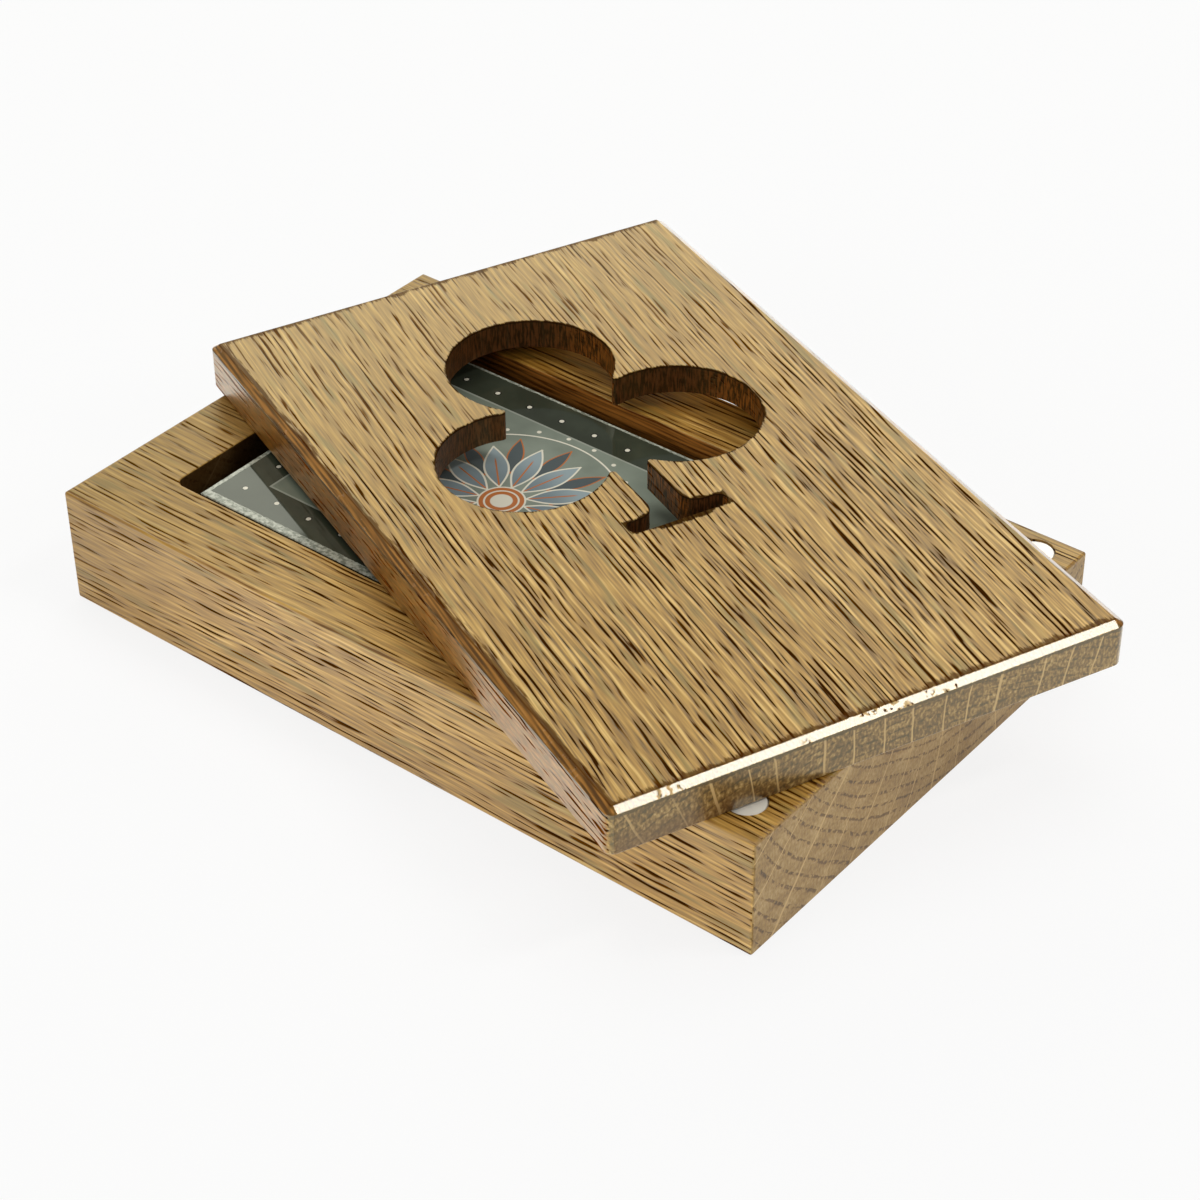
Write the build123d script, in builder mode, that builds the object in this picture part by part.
from build123d import *
from math import sqrt
import os

os.makedirs("parts", exist_ok=True)

# All sizes in millimetres. X runs along the case, Y across it, Z up.
# The origin is the middle of the base's underside.

# Playing cards
CARD_LENGTH = 88.0
CARD_WIDTH = 63.0
CARD_THICK = 0.30
CARD_CORNER = 3.5
CARD_COUNT = 54

# Carton: one sheet of board, folded round the deck
BOARD = 0.4
DECK_END_PLAY = 1.1
DECK_SIDE_PLAY = 0.6
DECK_HEADROOM = 1.0
FLAP_SLIT = 0.1
TAB_LENGTH = 14.0
TAB_INSET = 2.0
TAB_CORNER = 4.0
THUMB_NOTCH = 9.0
CARTON_EDGE = 0.3

# Pocket milled in the base, round the carton
GAP_LEFT = 5.0
FINGER_ROOM = 34.0
GAP_NEAR = 1.2
GAP_FAR = 4.8
CARTON_DROP = 1.0
POCKET_CORNER = 2.0

# Wood left round and under the pocket
RIM_LEFT = 14.0
RIM_RIGHT = 14.0
RIM_NEAR = 15.0
RIM_FAR = 14.0
POCKET_FLOOR = 4.5

# Rounding that sandpaper leaves on the arrises
BASE_EASE = 0.5
POCKET_EASE = 0.3
LID_EASE = 0.3
CLUB_EASE = 0.25

# Lid board
LID_THICK = 9.2
LID_CORNER = 1.8
LID_CHAMFER_IN = 1.5
LID_CHAMFER_DOWN = 1.0
LID_RECESS = 3.3

# Where the loose lid lies on the base
LID_TURN = -22.33
LID_ALONG = 8.5
LID_ACROSS = 9.8

# Club cut through the lid, pointing along it: three lobes on an equal triangle
CLUB_FROM_END = 21.8
LOBE_RADIUS = 16.0
LOBE_GAP = 0.2
TIP_ROUND = 0.8
STEM_WIDTH = 6.4
STEM_FLARE = 3.5
FOOT_FROM_LOBES = 26.1
FOOT_DEPTH = 3.6
FOOT_WIDTH = 20.2

# Disc magnets, glued in blind holes
MAGNET_RADIUS = 3.5
MAGNET_THICK = 2.0
MAGNET_EDGE = 0.2
MAGNET_FIT = 0.1
MAGNET_RECESS = 0.3
MAGNET_FROM_END = 7.4
MAGNET_FROM_NEAR = 8.0
MAGNET_FROM_FAR = 5.4

# Worked out from the sizes above
deck_height = CARD_COUNT * CARD_THICK
carton_length = CARD_LENGTH + 2 * DECK_END_PLAY + 2 * BOARD
carton_width = CARD_WIDTH + 2 * DECK_SIDE_PLAY + 2 * BOARD
carton_height = deck_height + DECK_HEADROOM + FLAP_SLIT + 3 * BOARD
pocket_length = GAP_LEFT + carton_length + FINGER_ROOM
pocket_width = GAP_NEAR + carton_width + GAP_FAR
pocket_depth = carton_height + CARTON_DROP
base_length = RIM_LEFT + pocket_length + RIM_RIGHT
base_width = RIM_NEAR + pocket_width + RIM_FAR
base_height = POCKET_FLOOR + pocket_depth

pocket_left = -base_length / 2 + RIM_LEFT
pocket_near = -base_width / 2 + RIM_NEAR
pocket_x = pocket_left + pocket_length / 2
pocket_y = pocket_near + pocket_width / 2
carton_x = pocket_left + GAP_LEFT + carton_length / 2
carton_y = pocket_near + GAP_NEAR + carton_width / 2
carton_right = carton_length / 2

magnet_x = base_length / 2 - MAGNET_FROM_END
magnet_near = -base_width / 2 + MAGNET_FROM_NEAR
magnet_far = base_width / 2 - MAGNET_FROM_FAR
magnet_hole = MAGNET_RADIUS + MAGNET_FIT
magnet_hole_depth = MAGNET_THICK + MAGNET_RECESS

head_x = -base_length / 2 + CLUB_FROM_END + LOBE_RADIUS
lobe_pitch = 2 * LOBE_RADIUS + LOBE_GAP
side_x = head_x + lobe_pitch * sqrt(3) / 2
side_y = lobe_pitch / 2
foot_x = side_x + FOOT_FROM_LOBES + FOOT_DEPTH / 2

# A tip of wood between two lobes is a small round that touches both of them
tip_out = sqrt((LOBE_RADIUS + TIP_ROUND) ** 2 - (lobe_pitch / 2) ** 2)
tip_x = (head_x + side_x - tip_out) / 2
tip_y = (side_y + tip_out * sqrt(3)) / 2

lid_under = Plane(Location((LID_ALONG, LID_ACROSS, base_height), (0, 0, LID_TURN)))
lid_top = lid_under.offset(LID_THICK)
carton_floor = Plane(Location((carton_x, carton_y, POCKET_FLOOR)))


# The base: a block of oak with a pocket and two magnet holes in its top
with BuildPart() as base_block:
    with BuildSketch():
        Rectangle(base_length, base_width)
    extrude(amount=base_height)
    fillet(base_block.edges(), BASE_EASE)
    with BuildSketch(Plane.XY.offset(base_height)):
        with Locations((pocket_x, pocket_y)):
            RectangleRounded(pocket_length, pocket_width, POCKET_CORNER)
    extrude(amount=-pocket_depth, mode=Mode.SUBTRACT)
    pocket_mouth = base_block.faces().sort_by(Axis.Z)[-1].inner_wires()[0].edges()
    fillet(pocket_mouth, POCKET_EASE)
    with BuildSketch(Plane.XY.offset(base_height)):
        with Locations((magnet_x, magnet_near), (magnet_x, magnet_far)):
            Circle(magnet_hole)
    extrude(amount=-magnet_hole_depth, mode=Mode.SUBTRACT)
base_block.part.label = "base_block"
export_step(base_block.part, "parts/base_block.step")


def is_flare(corner):
    """A corner where the stem of the club meets its foot."""
    at_stem = abs(abs(corner.Y) - STEM_WIDTH / 2) < 0.01
    return at_stem and abs(corner.X - (foot_x - FOOT_DEPTH / 2)) < 0.01


def is_tip(corner):
    """A corner where a tip of wood points in between a lobe and the stem."""
    at_stem = abs(abs(corner.Y) - STEM_WIDTH / 2) < 0.01
    return at_stem and corner.X < side_x + LOBE_RADIUS


# The lid: a board chamfered round the top, with the club cut through it.
# Its underside is recessed over the pocket, as headroom for the cards.
with BuildPart() as lid_board:
    with BuildSketch(lid_under):
        RectangleRounded(base_length, base_width, LID_CORNER)
    extrude(amount=LID_THICK)
    top_face = lid_board.faces().sort_by(Axis.Z)[-1]
    chamfer(top_face.edges(), LID_CHAMFER_IN, LID_CHAMFER_DOWN, reference=top_face)
    fillet(lid_board.faces().sort_by(Axis.Z)[-1].edges(), LID_EASE)
    fillet(lid_board.faces().sort_by(Axis.Z)[0].edges(), LID_EASE)
    with BuildSketch(lid_top) as club:
        with Locations((head_x, 0), (side_x, side_y), (side_x, -side_y)):
            Circle(LOBE_RADIUS)
        Polygon(
            (head_x, 0),
            (tip_x, -tip_y),
            (side_x, -side_y),
            (side_x, side_y),
            (tip_x, tip_y),
            align=None,
        )
        with Locations((tip_x, tip_y), (tip_x, -tip_y)):
            Circle(TIP_ROUND, mode=Mode.SUBTRACT)
        with Locations(((head_x + foot_x) / 2, 0)):
            Rectangle(foot_x - head_x, STEM_WIDTH)
        with Locations((foot_x, 0)):
            SlotOverall(FOOT_WIDTH, FOOT_DEPTH, rotation=90)
        corners = club.vertices()
        flares = corners.filter_by(lambda v: is_flare(lid_top.to_local_coords(v)))
        fillet(flares, STEM_FLARE)
        tips = club.vertices().filter_by(lambda v: is_tip(lid_top.to_local_coords(v)))
        fillet(tips, TIP_ROUND)
    extrude(amount=-LID_THICK, mode=Mode.SUBTRACT)
    club_mouth = lid_board.faces().sort_by(Axis.Z)[-1].inner_wires()[0].edges()
    fillet(club_mouth, CLUB_EASE)
    with BuildSketch(lid_under):
        with Locations((pocket_x, pocket_y)):
            RectangleRounded(pocket_length, pocket_width, POCKET_CORNER)
    extrude(amount=LID_RECESS, mode=Mode.SUBTRACT)
    with BuildSketch(lid_under):
        with Locations((magnet_x, magnet_near), (magnet_x, magnet_far)):
            Circle(magnet_hole)
    extrude(amount=magnet_hole_depth, mode=Mode.SUBTRACT)
lid_board.part.label = "lid_board"
export_step(lid_board.part, "parts/lid_board.step")


def make_magnet(name, wood, facing, y):
    """A disc magnet let into a wooden face, its own face sunk a little below the wood."""
    sunk = wood.offset(-facing * MAGNET_RECESS)
    with BuildPart() as magnet:
        with BuildSketch(Plane(sunk.from_local_coords((magnet_x, y, 0)), z_dir=(0, 0, facing))):
            Circle(MAGNET_RADIUS)
        extrude(amount=-MAGNET_THICK)
        chamfer(magnet.edges().filter_by(GeomType.CIRCLE), MAGNET_EDGE)
    magnet.part.label = name
    export_step(magnet.part, f"parts/{name}.step")


# The magnets: a pair in the base facing up, and their partners in the lid facing down
for side, y in (("near", magnet_near), ("far", magnet_far)):
    make_magnet(f"base_magnet_{side}", Plane.XY.offset(base_height), 1, y)
    make_magnet(f"lid_magnet_{side}", lid_under, -1, y)


# The carton: a sleeve shut at its left end, with the flap tucked in at its right
with BuildPart() as card_carton:
    with BuildSketch(carton_floor):
        Rectangle(carton_length, carton_width)
    extrude(amount=carton_height)
    long_edges = card_carton.edges().filter_by(Axis.X)
    fillet(long_edges + card_carton.faces().sort_by(Axis.X)[0].edges(), CARTON_EDGE)
    with BuildSketch(carton_floor.offset(BOARD)):
        with Locations((BOARD, 0)):
            Rectangle(carton_length, carton_width - 2 * BOARD)
    extrude(amount=carton_height - 2 * BOARD, mode=Mode.SUBTRACT)
    with BuildSketch(carton_floor.offset(carton_height)):
        with Locations((carton_right, 0)):
            Circle(THUMB_NOTCH)
    extrude(amount=-BOARD, mode=Mode.SUBTRACT)
    with BuildSketch(carton_floor.offset(BOARD)):
        with Locations((carton_right - BOARD / 2, 0)):
            Rectangle(BOARD, carton_width - 2 * (BOARD + FLAP_SLIT))
    extrude(amount=carton_height - 2 * BOARD - FLAP_SLIT)
    with BuildSketch(carton_floor.offset(carton_height - BOARD - FLAP_SLIT)) as tab:
        with Locations((carton_right - TAB_LENGTH / 2, 0)):
            Rectangle(TAB_LENGTH, carton_width - 2 * (BOARD + TAB_INSET))
        fillet(tab.vertices().group_by(Axis.X)[0], TAB_CORNER)
    extrude(amount=-BOARD)
card_carton.part.label = "card_carton"
export_step(card_carton.part, "parts/card_carton.step")


# The deck: thin cards with rounded corners, face to face
with BuildPart() as one_card:
    with BuildSketch(carton_floor.offset(BOARD)):
        RectangleRounded(CARD_LENGTH, CARD_WIDTH, CARD_CORNER)
    extrude(amount=CARD_THICK)
deck = [one_card.part.moved(Location((0, 0, i * CARD_THICK))) for i in range(CARD_COUNT)]
playing_cards = Compound(children=deck)
playing_cards.label = "playing_cards"
export_step(playing_cards, "parts/playing_cards.step")

print("base", round(base_length, 2), round(base_width, 2), round(base_height, 2))
print("pocket", round(pocket_length, 2), round(pocket_width, 2), round(pocket_depth, 2))
print("carton", round(carton_length, 2), round(carton_width, 2), round(carton_height, 2))
